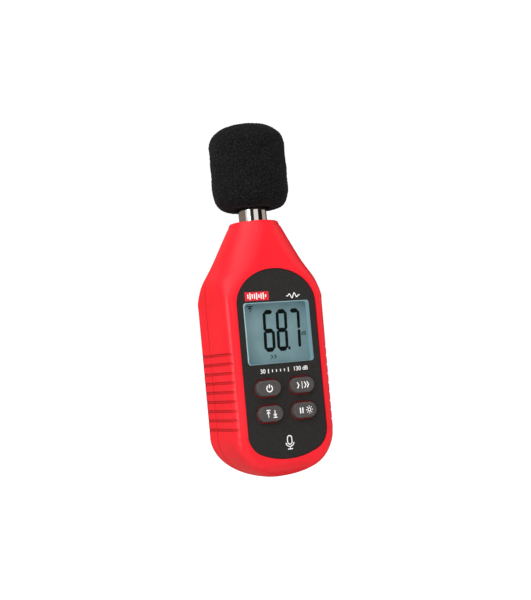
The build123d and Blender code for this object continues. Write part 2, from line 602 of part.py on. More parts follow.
# ---- board ----
def main_board():
    """Circuit board, narrowed at the top to follow the cone, notched round the screw posts."""
    outline = make_face(Polyline(
        (-BOARD_HALF_WIDTH + BOARD_CORNER, BOARD_BOTTOM), (BOARD_HALF_WIDTH - BOARD_CORNER, BOARD_BOTTOM),
        (BOARD_HALF_WIDTH, BOARD_BOTTOM + BOARD_CORNER), (BOARD_HALF_WIDTH, BOARD_TAPER_START),
        (BOARD_TOP_HALF_WIDTH, BOARD_TOP), (-BOARD_TOP_HALF_WIDTH, BOARD_TOP),
        (-BOARD_HALF_WIDTH, BOARD_TAPER_START), (-BOARD_HALF_WIDTH, BOARD_BOTTOM + BOARD_CORNER),
        close=True))
    board = slab(outline, BOARD_Y, BOARD_BACK_Y)
    board -= [rod(x, z, POST_RADIUS + BOARD_CLEARANCE, BOARD_Y - 1, BOARD_BACK_Y + 1)
              for x, z in HOUSING_SCREWS]
    return board - [rod(x, z, SCREW_RADIUS + SCREW_HOLE_CLEARANCE, BOARD_Y - 1, BOARD_BACK_Y + 1)
                    for x, z in BOARD_SCREWS]


def on_board(x, rise, width, height, thickness):
    """Box standing on the back of the board, its middle a given height above the cell bay."""
    z = BAY_TOP + BAY_WALL + rise
    return block(x - width / 2, x + width / 2, BOARD_BACK_Y, BOARD_BACK_Y + thickness,
                 z - height / 2, z + height / 2)


def chip(x, rise, width, height, legs):
    """Chip with a row of legs down both long sides."""
    pitch = (height - 2 * LEG_MARGIN) / (legs - 1)
    start = rise - height / 2 + LEG_MARGIN
    feet = [on_board(x + side * (width + LEG_LENGTH) / 2, start + i * pitch, LEG_LENGTH, pitch / 2,
                     LEG_THICKNESS) for side in (-1, 1) for i in range(legs)]
    return group([on_board(x, rise, width, height, CHIP_THICKNESS)] + feet)


def can(x, rise, radius, height):
    """Round can standing on the back of the board."""
    return rod(x, BAY_TOP + BAY_WALL + rise, radius, BOARD_BACK_Y, BOARD_BACK_Y + height)


def board_parts():
    """What is soldered to the back of the board, above the cell bay."""
    resistors = [on_board(x + RESISTOR_PITCH * i, rise, RESISTOR_WIDTH, RESISTOR_HEIGHT, RESISTOR_THICKNESS)
                 for x, rise, count in RESISTOR_ROWS for i in range(count)]
    trim_screw = can(*TRIM_POT[:2], TRIM_SCREW_RADIUS, TRIM_POT_THICKNESS + TRIM_SCREW_PROUD)
    return {
        "microcontroller": chip(*MICROCONTROLLER, MICROCONTROLLER_LEGS),
        "detector_chip": chip(*DETECTOR_CHIP, SMALL_CHIP_LEGS),
        "preamp_chip": chip(*PREAMP_CHIP, SMALL_CHIP_LEGS),
        "capacitors": group([can(x, rise, CAPACITOR_RADIUS, CAPACITOR_HEIGHT) for x, rise in CAPACITORS]),
        "crystal": on_board(*CRYSTAL, CRYSTAL_THICKNESS),
        "resistors": group(resistors),
        "trim_pot": on_board(*TRIM_POT, TRIM_POT_THICKNESS) + trim_screw,
    }


def screws(places, tip_y, head_y):
    """Cross-head screws that point to the front, between their tips and the undersides of their heads."""
    made = []
    head_end = head_y + SCREW_HEAD_HEIGHT
    for x, z in places:
        screw = rod(x, z, SCREW_RADIUS, tip_y, head_y) + rod(x, z, SCREW_HEAD_RADIUS, head_y, head_end)
        cross = Rectangle(SCREW_HEAD_RADIUS, SCREW_SLOT_WIDTH)
        cross += Rectangle(SCREW_SLOT_WIDTH, SCREW_HEAD_RADIUS)
        made.append(screw - slab(Pos(x, z) * cross, head_end - SCREW_HEAD_HEIGHT / 2, head_end + 1))
    return group(made)


# ---- microphone and windscreen ----
def mic_parts():
    """Microphone tube with the capsule in its tip and the holder at its foot."""
    bore = TUBE_BORE_RADIUS
    tube = upright(0, AXIS_Y, TUBE_RADIUS, TUBE_BOTTOM, TUBE_TOP)
    tube = chamfer(tube.edges().group_by(Axis.Z)[-1], TUBE_WALL / 3)
    tube -= upright(0, AXIS_Y, bore, TUBE_BOTTOM - 1, TUBE_TOP + 1)
    grille_top = TUBE_TOP - GRILLE_RECESS
    grille_bottom = grille_top - GRILLE_THICKNESS
    grille = upright(0, AXIS_Y, bore, grille_bottom, grille_top)
    holes = [(0, 0)]
    for ring in range(1, GRILLE_RINGS + 1):
        radius = ring * GRILLE_RING_PITCH
        turns = [2 * pi * i / (6 * ring) for i in range(6 * ring)]
        holes += [(radius * cos(turn), radius * sin(turn)) for turn in turns]
    grille -= [upright(x, AXIS_Y + y, GRILLE_HOLE_RADIUS, grille_bottom - 1, grille_top + 1)
               for x, y in holes]
    capsule_bottom = grille_bottom - CAPSULE_LENGTH
    sleeve_bottom = grille_bottom - SLEEVE_LENGTH
    capsule = upright(0, AXIS_Y, CAPSULE_RADIUS, capsule_bottom, grille_bottom)
    sleeve = upright(0, AXIS_Y, bore, sleeve_bottom, grille_bottom)
    sleeve -= upright(0, AXIS_Y, CAPSULE_RADIUS, sleeve_bottom - 1, grille_bottom + 1)
    holder = upright(0, AXIS_Y, HOLDER_RADIUS, HOLDER_TOP - HOLDER_HEIGHT, HOLDER_TOP)
    holder -= upright(0, AXIS_Y, TUBE_RADIUS, TUBE_BOTTOM - 1, HOLDER_TOP + 1)
    seal = upright(0, AXIS_Y, SEAL_RADIUS, SEAL_TOP - SEAL_HEIGHT, SEAL_TOP)
    seal -= upright(0, AXIS_Y, TUBE_RADIUS, SEAL_TOP - SEAL_HEIGHT - 1, SEAL_TOP + 1)
    return {
        "mic_tube": tube,
        "mic_grille": grille,
        "mic_capsule": capsule,
        "mic_sleeve": sleeve,
        "mic_holder": holder,
        "neck_seal": seal,
        "mic_lead_red": mic_lead(-MIC_LEAD_SPACING / 2, capsule_bottom),
        "mic_lead_black": mic_lead(MIC_LEAD_SPACING / 2, capsule_bottom),
    }


def mic_lead(x, top):
    """Wire from the capsule down the tube to the back of the board."""
    low = TUBE_BOTTOM - MIC_LEAD_DROP
    route = FilletPolyline((x, AXIS_Y, top), (x, AXIS_Y, low), (x, BOARD_BACK_Y, low), radius=MIC_LEAD_BEND)
    return sweep(Plane(origin=route @ 0, z_dir=route % 0) * Circle(MIC_LEAD_RADIUS), path=route)


def windscreen():
    """Foam windscreen: rounded barrel with a domed top and a bore for the tube."""
    top = FOAM_BOTTOM + FOAM_HEIGHT
    shoulder = top - FOAM_DOME_HEIGHT
    power = 2 / FOAM_DOME_POWER
    turns = [radians(90 * i / FOAM_DOME_STEPS) for i in range(1, FOAM_DOME_STEPS)]
    arch = [(FOAM_RADIUS * cos(t) ** power, shoulder + FOAM_DOME_HEIGHT * sin(t) ** power) for t in turns]
    edge_x = FOAM_RADIUS - FOAM_EDGE_WIDTH
    edge_z = FOAM_BOTTOM + FOAM_EDGE_HEIGHT
    side = Line((FOAM_RADIUS, edge_z), (FOAM_RADIUS, shoulder))
    dome = Spline((FOAM_RADIUS, shoulder), *arch, (0, top), tangents=((0, 1), (-1, 0)))
    edge = EllipticalCenterArc((edge_x, edge_z), FOAM_EDGE_WIDTH, FOAM_EDGE_HEIGHT,
                               start_angle=270, arc_size=90)
    base = Line((edge_x, FOAM_BOTTOM), (0, FOAM_BOTTOM))
    middle = Line((0, FOAM_BOTTOM), (0, top))
    foam = revolve(Plane.XZ * make_face([side, dome, middle, base, edge]), Axis.Z)
    mouth = Cone(FOAM_MOUTH_RADIUS, FOAM_BORE_RADIUS, FOAM_MOUTH_DEPTH)
    foam -= Pos(0, 0, FOAM_BOTTOM + FOAM_BORE_DEPTH / 2) * Cylinder(FOAM_BORE_RADIUS, FOAM_BORE_DEPTH)
    foam -= Pos(0, 0, FOAM_BOTTOM + FOAM_MOUTH_DEPTH / 2) * mouth
    return Pos(0, AXIS_Y, 0) * foam


# ---- cells and contacts ----
def cell_x(index):
    """Axis of one of the cells, counted from the left."""
    return (index - (CELL_COUNT - 1) / 2) * CELL_PITCH


def cell_span(index):
    """Bottom and top of a cell. The spring is under the outer cells and over the middle one."""
    low = BAY_BOTTOM + CONTACT_THICKNESS + CONTACT_CLEARANCE
    if index != 1:
        low += SPRING_LENGTH
    return low, low + CELL_LENGTH


def cell(index):
    """Dry cell, with its nub away from its spring."""
    low, high = cell_span(index)
    x = cell_x(index)
    if index == 1:
        body = upright(x, CELL_Y, CELL_RADIUS, low + CELL_NUB_HEIGHT, high)
        return body + upright(x, CELL_Y, CELL_NUB_RADIUS, low, low + CELL_NUB_HEIGHT)
    body = upright(x, CELL_Y, CELL_RADIUS, low, high - CELL_NUB_HEIGHT)
    return body + upright(x, CELL_Y, CELL_NUB_RADIUS, high - CELL_NUB_HEIGHT, high)


def contact_plate(first, last, z):
    """Flat contact behind one or two cell ends."""
    half = CONTACT_HALF_HEIGHT
    return block(cell_x(first) - half, cell_x(last) + half, CELL_Y - half, CELL_Y + half,
                 z, z + CONTACT_THICKNESS)


def tab_places():
    """Where the two end contacts reach through the bay's front wall."""
    return [(cell_x(0), BAY_TOP - CONTACT_THICKNESS), (cell_x(2), BAY_BOTTOM)]


def tab_block(x, z, grow):
    """Solder tab of an end contact, grown all round."""
    return block(x - TAB_WIDTH / 2 - grow, x + TAB_WIDTH / 2 + grow, BAY_FRONT_Y - TAB_LENGTH,
                 CELL_Y, z - grow, z + CONTACT_THICKNESS + grow)


def spring(index):
    """Coil spring between a contact and a cell's flat end."""
    low, high = cell_span(index)
    start = high if index == 1 else low - SPRING_LENGTH
    end = SPRING_WIRE_RADIUS + SPRING_END_GAP
    rise = SPRING_LENGTH - 2 * end
    helix = Helix(rise / SPRING_TURNS, rise, SPRING_RADIUS, center=(cell_x(index), CELL_Y, start + end))
    return sweep(Plane(origin=helix @ 0, z_dir=helix % 0) * Circle(SPRING_WIRE_RADIUS), path=helix)


def battery_lead(x, z):
    """Wire from an end contact's tab straight to the board."""
    start = BAY_FRONT_Y - TAB_LENGTH
    return rod(x, z + CONTACT_THICKNESS / 2, BATTERY_LEAD_RADIUS, BOARD_BACK_Y, start)


def battery_parts():
    """Cells, springs, contacts and leads."""
    top = BAY_TOP - CONTACT_THICKNESS
    plus, minus = tab_places()
    return {
        "cell_left": cell(0),
        "cell_middle": cell(1),
        "cell_right": cell(2),
        "battery_springs": group([spring(index) for index in range(CELL_COUNT)]),
        "lower_bridge_contact": contact_plate(0, 1, BAY_BOTTOM),
        "upper_bridge_contact": contact_plate(1, 2, top),
        "positive_contact": contact_plate(0, 0, top) + tab_block(*plus, 0),
        "negative_contact": contact_plate(2, 2, BAY_BOTTOM) + tab_block(*minus, 0),
        "battery_lead_red": battery_lead(*plus),
        "battery_lead_black": battery_lead(*minus),
    }


# ---- battery door ----
def battery_door(outside):
    """Sliding door whose outside follows the case, with side tongues, latch and thumb grip."""
    plate = block(-DOOR_HALF_WIDTH, DOOR_HALF_WIDTH, -DOOR_THICKNESS, 1, DOOR_BOTTOM, DOOR_TOP) & outside
    tongue = DOOR_HALF_WIDTH + TONGUE_WIDTH
    top = -DOOR_THICKNESS + TONGUE_THICKNESS
    plate += block(-tongue, tongue, -DOOR_THICKNESS, top, BAY_BOTTOM + TONGUE_MARGIN,
                   DOOR_TOP - TONGUE_MARGIN)
    plate += block(-LATCH_HALF_WIDTH, LATCH_HALF_WIDTH, -DOOR_THICKNESS, top, DOOR_TOP,
                   DOOR_TOP + LATCH_LENGTH)
    grip = DOOR_TOP - 2 * DOOR_GRIP_PITCH
    plate -= [grip_groove(grip - i * DOOR_GRIP_PITCH) for i in range(DOOR_GRIP_COUNT)]
    return plate - slab(rear_label_sketch(LABEL_CLEARANCE), -REAR_LABEL_RECESS, 1)


def grip_groove(z):
    """One groove of the door's thumb grip."""
    return slab(Pos(0, z) * SlotOverall(DOOR_GRIP_WIDTH, DOOR_GRIP_PITCH / 2), -DOOR_GRIP_DEPTH, 1)


def rear_label_sketch(grow):
    """Back view of the plain label on the door, grown all round."""
    return Pos(0, REAR_LABEL_Z) * RectangleRounded(REAR_LABEL_WIDTH + 2 * grow,
                                                   REAR_LABEL_HEIGHT + 2 * grow, REAR_LABEL_CORNER)


def tripod_bush():
    """Brass insert with a blind bore for a camera thread."""
    bush = rod(0, BUSH_HEIGHT, BUSH_RADIUS, -BUSH_LENGTH, 0)
    return bush - rod(0, BUSH_HEIGHT, BUSH_BORE_RADIUS, -BUSH_BORE_DEPTH, 1)


def build():
    """All nodes by name."""
    outside = case_outside()
    cavity = case_solid(WALL, CAVITY_TOP)
    grooves = groove_cutters()
    nodes = {
        "front_shell": front_shell(outside, cavity, grooves),
        "back_shell": back_shell(outside, cavity, grooves),
        "face_label": face_label(),
        "display_window": display_window(),
        "key_switches": key_switches(),
        "main_board": main_board(),
        "board_screws": screws(BOARD_SCREWS, BOARD_BACK_Y - BOARD_SCREW_LENGTH, BOARD_BACK_Y),
        "housing_screws": screws(HOUSING_SCREWS, HOUSING_SCREW_TIP_Y, -SCREW_WELL_DEPTH),
        "windscreen": windscreen(),
        "battery_door": battery_door(outside),
        "rear_label": slab(rear_label_sketch(0), -REAR_LABEL_RECESS,
                           REAR_LABEL_THICKNESS - REAR_LABEL_RECESS),
        "tripod_bush": tripod_bush(),
    }
    for parts in (display_parts(), key_parts(), board_parts(), mic_parts(), battery_parts()):
        nodes.update(parts)
    return nodes


os.makedirs("parts", exist_ok=True)
for node_name, shape in build().items():
    export_step(Pos(0, 0, -BUSH_HEIGHT) * shape, f"parts/{node_name}.step")
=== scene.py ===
"""Handheld sound level meter: the looks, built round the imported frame. Metres, Z up, display towards -Y."""

import json
import math

import bmesh
import bpy
import numpy as np
from mathutils import Matrix, Vector

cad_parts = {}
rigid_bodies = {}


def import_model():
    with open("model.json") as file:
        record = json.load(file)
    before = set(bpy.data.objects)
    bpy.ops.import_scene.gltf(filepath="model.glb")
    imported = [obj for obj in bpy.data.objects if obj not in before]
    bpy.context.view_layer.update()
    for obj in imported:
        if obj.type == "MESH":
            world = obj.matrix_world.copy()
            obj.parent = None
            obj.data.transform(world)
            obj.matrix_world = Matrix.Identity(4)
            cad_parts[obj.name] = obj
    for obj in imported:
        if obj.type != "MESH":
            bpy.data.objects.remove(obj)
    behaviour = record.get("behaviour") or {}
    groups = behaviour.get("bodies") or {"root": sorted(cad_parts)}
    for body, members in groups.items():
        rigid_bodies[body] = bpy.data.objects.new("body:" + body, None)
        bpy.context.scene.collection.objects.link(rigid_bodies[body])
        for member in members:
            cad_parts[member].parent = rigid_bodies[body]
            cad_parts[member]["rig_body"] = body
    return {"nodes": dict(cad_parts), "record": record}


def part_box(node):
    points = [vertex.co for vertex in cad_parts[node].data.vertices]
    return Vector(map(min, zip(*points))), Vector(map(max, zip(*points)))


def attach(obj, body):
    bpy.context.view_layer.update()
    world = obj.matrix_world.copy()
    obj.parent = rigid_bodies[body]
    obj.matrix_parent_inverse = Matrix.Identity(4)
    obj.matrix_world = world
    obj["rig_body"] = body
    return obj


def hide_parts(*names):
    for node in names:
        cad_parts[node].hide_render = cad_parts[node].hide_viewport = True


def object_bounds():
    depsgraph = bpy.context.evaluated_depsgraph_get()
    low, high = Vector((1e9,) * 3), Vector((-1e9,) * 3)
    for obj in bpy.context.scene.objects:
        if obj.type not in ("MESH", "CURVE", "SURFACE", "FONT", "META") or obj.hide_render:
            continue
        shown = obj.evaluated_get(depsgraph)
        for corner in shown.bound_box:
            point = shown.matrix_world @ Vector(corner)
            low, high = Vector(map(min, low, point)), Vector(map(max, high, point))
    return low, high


MM = 0.001

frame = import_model()
cad_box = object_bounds()

# Sizes in mm.
pane_low, pane_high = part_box("display_window")
WINDOW_FLANGE = 1.5             # rim of the window that is held behind the case's front
WINDOW_WIDE = (pane_high.x - pane_low.x) / MM - 2 * WINDOW_FLANGE
WINDOW_TALL = (pane_high.z - pane_low.z) / MM - 2 * WINDOW_FLANGE
WINDOW_CORNER = 1.5
PRINT_RISE = 0.03               # thickness of a printed mark
PRINT_BITE = 0.005              # how far a mark sinks into what it is printed on

KEYS = ("power_key", "response_key", "peak_key", "hold_key")


# ---- colour and shader helpers ----
def paint(hex_colour):
    """Linear RGBA of an sRGB hex colour."""
    parts = [int(hex_colour[i:i + 2], 16) / 255 for i in (1, 3, 5)]
    return [p / 12.92 if p <= 0.04045 else ((p + 0.055) / 1.055) ** 2.4 for p in parts] + [1.0]


def add(tree, kind, sockets=None, **settings):
    """Adds a shader node with its settings. A socket takes a value, or a link where it is given an output."""
    made = tree.nodes.new(kind)
    for name, value in settings.items():
        setattr(made, name, value)
    for name, value in (sockets or {}).items():
        if isinstance(value, bpy.types.NodeSocket):
            tree.links.new(value, made.inputs[name])
        else:
            made.inputs[name].default_value = value
    return made


def ramp(tree, source, stops):
    """Colour ramp from a value, with stops as (place, hex colour)."""
    made = add(tree, "ShaderNodeValToRGB", {"Fac": source})
    ends = made.color_ramp.elements
    while len(ends) < len(stops):
        ends.new(0.5)
    for end, (place, hex_colour) in zip(ends, stops):
        end.position = place
        end.color = paint(hex_colour)
    return made.outputs["Color"]


def per_metre(size_mm):
    """Texture scale at which one feature is this many millimetres across."""
    return 1 / (size_mm * MM)


def grain(tree, size_mm, detail=2.0, stretch=(1, 1, 1)):
    """Noise on the piece's own coordinates, one feature to each size, stretched along an axis if wanted."""
    place = add(tree, "ShaderNodeTexCoord").outputs["Object"]
    spread = add(tree, "ShaderNodeMapping", {"Vector": place, "Scale": stretch}).outputs["Vector"]
    noise = add(tree, "ShaderNodeTexNoise", {"Vector": spread, "Scale": per_metre(size_mm), "Detail": detail})
    return noise.outputs["Fac"]


def finish(name, shader_sockets, colour=None, colour_grain=None, rough=None, bump=None, painted_crevice_shade=None):
    """Principled material. colour is the ramp's stops over a grain of colour_grain mm, rough is
    (low, high, mm), bump is (mm, strength, depth in mm), and the crevice entry is painted shade:
    (reach in mm, hex colour that multiplies the base where the surface is closed in, as shade would)."""
    material = bpy.data.materials.new(name)
    material.use_nodes = True
    tree = material.node_tree
    tree.nodes.clear()
    sockets = dict(shader_sockets)
    if colour:
        sockets["Base Color"] = ramp(tree, grain(tree, colour_grain), colour)
    # Painted shade: an occlusion node darkens the base colour in grooves, seams and recesses.
    if painted_crevice_shade:
        reach_mm, shade = painted_crevice_shade
        closed = add(tree, "ShaderNodeAmbientOcclusion", {"Distance": reach_mm * MM}, samples=8)
        painted_shade_colour = ramp(tree, closed.outputs["AO"], [(0.35, shade), (0.95, "#ffffff")])
        factor, first, second, result = 0, 6, 7, 2
        shaded = add(tree, "ShaderNodeMix", {factor: 1.0, first: sockets["Base Color"], second: painted_shade_colour},
                     data_type="RGBA", blend_type="MULTIPLY")
        sockets["Base Color"] = shaded.outputs[result]
    if rough:
        low, high, size_mm = rough
        spread = add(tree, "ShaderNodeMapRange", {
            "Value": grain(tree, size_mm), "To Min": low, "To Max": high,
        })
        sockets["Roughness"] = spread.outputs["Result"]
    if bump:
        size_mm, strength, depth_mm = bump
        sockets["Normal"] = add(tree, "ShaderNodeBump", {
            "Height": grain(tree, size_mm, 3.0), "Strength": strength, "Distance": depth_mm * MM,
        }).outputs["Normal"]
    shader = add(tree, "ShaderNodeBsdfPrincipled", sockets)
    add(tree, "ShaderNodeOutputMaterial", {"Surface": shader.outputs["BSDF"]})
    return material


# ---- finishes ----
def case_abs():
    """Injection-moulded red ABS, IOR 1.54, from a lightly spark-eroded tool: a soft sheen broken by a
    grain of about 0.3 mm, drawn at 0.5 mm so that it shows, with slight differences in flow. Grooves and
    the seam get painted shade: their base colour is darkened where the surface is closed in, as little light
    leaves them."""
    return finish(
        "red_moulded_abs",
        {"IOR": 1.54, "Specular IOR Level": 0.26},
        colour=[(0.3, "#df1a26"), (0.7, "#e6202c")], colour_grain=22,
        # The crevice entry paints shade: a darker red multiplied into grooves, the seam and recesses.
        rough=(0.30, 0.38, 1.6), bump=(0.5, 0.10, 0.05), painted_crevice_shade=(1.5, "#a85858"))


def label_film():
    """Screen-printed polycarbonate film with a velvet face: dark grey, matt, with a fine even grain."""
    return finish(
        "velvet_polycarbonate_film",
        {"IOR": 1.58, "Specular IOR Level": 0.14},
        colour=[(0.35, "#232221"), (0.65, "#2b2928")], colour_grain=0.7,
        rough=(0.50, 0.62, 0.9), bump=(0.35, 0.16, 0.03))


def key_rubber():
    """Moulded silicone rubber keys: warm dark grey, lighter than the film, with a dull soft sheen."""
    return finish(
        "grey_silicone_rubber",
        {"IOR": 1.41, "Specular IOR Level": 0.35, "Sheen Weight": 0.06, "Sheen Roughness": 0.5},
        colour=[(0.3, "#444040"), (0.7, "#4b4747")], colour_grain=1.2,
        rough=(0.42, 0.54, 0.8), bump=(0.4, 0.10, 0.03))


def foam_skin():
    """Reticulated polyurethane foam, dyed black: open cells of about 0.6 mm that swallow light, with
    paler strands where the cell walls catch it."""
    return finish(
        "black_open_cell_foam",
        {"IOR": 1.45, "Specular IOR Level": 0.06, "Sheen Weight": 0.03, "Sheen Roughness": 0.5},
        colour=[(0.36, "#070707"), (0.52, "#111112"), (0.66, "#252527")], colour_grain=0.5,
        rough=(0.85, 1.0, 0.8), bump=(0.7, 0.8, 0.30))


def tube_chrome():
    """Nickel and chrome plate over turned brass: a clear mirror, with faint turning lines round it."""
    material = bpy.data.materials.new("polished_chrome_plate")
    material.use_nodes = True
    tree = material.node_tree
    tree.nodes.clear()
    lines = grain(tree, 3.0, 2.0, (0.3, 0.3, 14.0))
    rough = add(tree, "ShaderNodeMapRange", {"Value": lines, "To Min": 0.03, "To Max": 0.08})
    bump = add(tree, "ShaderNodeBump", {"Height": lines, "Strength": 0.02, "Distance": 0.02 * MM})
    shader = add(tree, "ShaderNodeBsdfPrincipled", {
        "Base Color": paint("#efece8"), "Metallic": 1.0, "Roughness": rough.outputs["Result"],
        "Normal": bump.outputs["Normal"],
    })
    add(tree, "ShaderNodeOutputMaterial", {"Surface": shader.outputs["BSDF"]})
    return material


def clear_acrylic():
    """Cast acrylic window, IOR 1.49: what lies behind shows through it, and the studio shows in it faintly.
    Only the side that light arrives on mirrors it, as the straight-through light isn't bent inside."""
    material = bpy.data.materials.new("clear_acrylic")
    material.use_nodes = True
    tree = material.node_tree
    tree.nodes.clear()
    clear = add(tree, "ShaderNodeBsdfTransparent", {"Color": paint("#f7fbfa")})
    haze = add(tree, "ShaderNodeMapRange", {"Value": grain(tree, 6.0), "To Min": 0.03, "To Max": 0.07})
    gloss = add(tree, "ShaderNodeBsdfGlossy", {"Roughness": haze.outputs["Result"]})
    leaving = add(tree, "ShaderNodeNewGeometry").outputs["Backfacing"]
    arriving = add(tree, "ShaderNodeMath", {0: 1.0, 1: leaving}, operation="SUBTRACT").outputs["Value"]
    fresnel = add(tree, "ShaderNodeFresnel", {"IOR": 1.49}).outputs["Fac"]
    share = add(tree, "ShaderNodeMath", {0: fresnel, 1: arriving}, operation="MULTIPLY").outputs["Value"]
    mixed = add(tree, "ShaderNodeMixShader", {"Fac": share})
    tree.links.new(clear.outputs["BSDF"], mixed.inputs[1])
    tree.links.new(gloss.outputs["BSDF"], mixed.inputs[2])
    add(tree, "ShaderNodeOutputMaterial", {"Surface": mixed.outputs["Shader"]})
    return material


PRINT_WHITE = ("white_screen_ink", ["#e6e6e4", "#f4f4f2"], 0.45)
PRINT_RED = ("red_screen_ink", ["#c81f2c", "#d62a36"], 0.40)
PRINT_BLACK = ("black_display_segment", ["#07090a", "#0d1011"], 0.35)


def ink(name, shades, roughness):
    """Thin opaque screen ink: flat colour with a trace of mottling, a little glossier than the film."""
    spread = 0.05
    return finish(name, {"IOR": 1.5, "Specular IOR Level": 0.25},
                  colour=[(0.3, shades[0]), (0.7, shades[1])], colour_grain=0.9,
                  rough=(roughness - spread, roughness + spread, 0.8), bump=(0.5, 0.05, 0.02))


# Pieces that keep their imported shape, by material slot: the finish's name, its two shades, the size of
# its mottling in mm, roughness, metallic and bump as (mm, strength, depth in mm).
PLAIN_FINISHES = {
    # Plastics: milky and glossy for the light guide, satin white, slippery black, glossy blue.
    "light_guide": ("milky_acrylic", "#dfe6ea", "#f2f6f8", 4, 0.25, 0, (3, 0.05, 0.02)),
    "white_plastic": ("white_polystyrene", "#dcdcd8", "#ebebe8", 3, 0.45, 0, (0.4, 0.1, 0.03)),
    "plunger_plastic": ("black_nylon", "#101011", "#191919", 1, 0.5, 0, (0.4, 0.1, 0.03)),
    "pot_blue": ("blue_thermoplastic", "#16489a", "#1f57b0", 1, 0.4, 0, (0.4, 0.1, 0.03)),
    # Foam and rubbers: dull and pitted, finely striped, and dull black with a moulded skin.
    "grey_foam": ("closed_cell_foam", "#7d979e", "#8ea8af", 0.6, 0.9, 0, (0.5, 0.4, 0.15)),
    "rubber_strip": ("layered_conductive_rubber", "#1c1c1e", "#6a6a6c", 0.2, 0.7, 0, (0.3, 0.2, 0.03)),
    "black_rubber": ("black_nitrile_rubber", "#0d0d0e", "#191919", 1, 0.65, 0, (0.4, 0.2, 0.04)),
    # Board: glossy green with a faint weave, and matt black chips.
    "circuit_board": ("green_solder_mask", "#0b4a24", "#12602f", 1.5, 0.3, 0, (0.8, 0.15, 0.04)),
    "chip_epoxy": ("moulded_epoxy", "#141415", "#1f1f20", 0.5, 0.6, 0, (0.2, 0.2, 0.02)),
    # Metals: pale and soft for tin, aluminium and nickel, streaky for zinc, warm for brass.
    "switch_metal": ("tinned_steel", "#a9a9a6", "#c4c4c1", 0.8, 0.3, 1, (0.5, 0.08, 0.02)),
    "capacitor_can": ("bare_aluminium", "#b9babd", "#d4d5d8", 1, 0.3, 1, (0.5, 0.08, 0.02)),
    "capsule_metal": ("drawn_aluminium", "#aeb0b3", "#cfd0d2", 1, 0.3, 1, (0.4, 0.08, 0.02)),
    "contact_nickel": ("nickel_plated_steel", "#b5b3ab", "#d2d0c8", 0.8, 0.25, 1, (0.5, 0.08, 0.02)),
    "screw_steel": ("zinc_plated_steel", "#9a9b9d", "#c2c3c4", 0.6, 0.32, 1, (0.3, 0.12, 0.02)),
    "bush_brass": ("turned_brass", "#b98e45", "#d3aa5c", 0.8, 0.28, 1, (0.4, 0.1, 0.02)),
    # Wires in satin vinyl, and the cells' shrunk jackets, dark and glossy.
    "wire_red": ("red_wire_insulation", "#a8121c", "#c41a26", 1, 0.4, 0, (0.6, 0.1, 0.03)),
    "wire_black": ("black_wire_insulation", "#0f0f10", "#1a1a1b", 1, 0.4, 0, (0.6, 0.1, 0.03)),
    "cell_jacket": ("printed_cell_jacket", "#1c2026", "#2b3038", 6, 0.3, 0, (1.5, 0.05, 0.02)),
}


def plain_finish(name, low, high, mottle, roughness, metallic, bump):
    """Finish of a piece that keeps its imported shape, most of them seen only when the meter is open."""
    spread = 0.06
    return finish(name, {"Metallic": float(metallic)}, colour=[(0.3, low), (0.7, high)], colour_grain=mottle,
                  rough=(roughness - spread, roughness + spread, mottle), bump=bump)


def rear_film():
    """Polyester film with a silver print under it, for the rear label: pale, with a broad dull sheen."""
    return finish("silver_polyester_film", {"Metallic": 0.6}, colour=[(0.3, "#b4b4b2"), (0.7, "#bcbcba")],
                  colour_grain=5, rough=(0.35, 0.45, 2), bump=(0.6, 0.05, 0.02))


# ---- mesh helpers ----
def mesh_object(name, points, faces, material, smooth=True):
    """Mesh object from an array of points in metres and a list of faces."""
    mesh = bpy.data.meshes.new(name)
    mesh.from_pydata(np.asarray(points, float).tolist(), [], [list(map(int, f)) for f in faces])
    mesh.validate()
    mesh.polygons.foreach_set("use_smooth", [smooth] * len(mesh.polygons))
    for one in material if isinstance(material, list) else [material]:
        mesh.materials.append(one)
    made = bpy.data.objects.new(name, mesh)
    bpy.context.scene.collection.objects.link(made)
    return made


def grid_faces(rows, columns):
    """Quads of a grid that closes on itself along its columns, stored row by row."""
    row, column = np.meshgrid(np.arange(rows - 1), np.arange(columns), indexing="ij")
    after = (column + 1) % columns
    corners = (row * columns + column, row * columns + after, (row + 1) * columns + after,
               (row + 1) * columns + column)
    return np.stack([c.ravel() for c in corners], axis=1)


def smooth_copy(node, name, material):
    """Copy of a CAD node with its loose triangles joined, the flat faces of its sides made whole, and its
    corners shaded smooth, weighted so that large flat faces stay flat."""
    join_reach, flat_turn, side_share, sharp_turn = 0.002 * MM, math.radians(0.2), 0.6, math.radians(28)
    shape = bmesh.new()
    shape.from_mesh(frame["nodes"][node].data)
    bmesh.ops.remove_doubles(shape, verts=shape.verts, dist=join_reach)
    sides = [e for e in shape.edges if all(abs(f.normal.x) > side_share for f in e.link_faces)]
    bmesh.ops.dissolve_limit(shape, angle_limit=flat_turn, verts=[], edges=sides)
    shape.verts.index_update()
    points = [v.co[:] for v in shape.verts]
    faces = [[v.index for v in f.verts] for f in shape.faces]
    shape.free()
    made = mesh_object(name, points, faces, material)
    made.data.set_sharp_from_angle(angle=sharp_turn)
    weigh = made.modifiers.new("flat_faces_stay_flat", "WEIGHTED_NORMAL")
    weigh.weight = 100
    weigh.keep_sharp = True
    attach(made, frame["nodes"][node]["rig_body"])
    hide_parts(node)


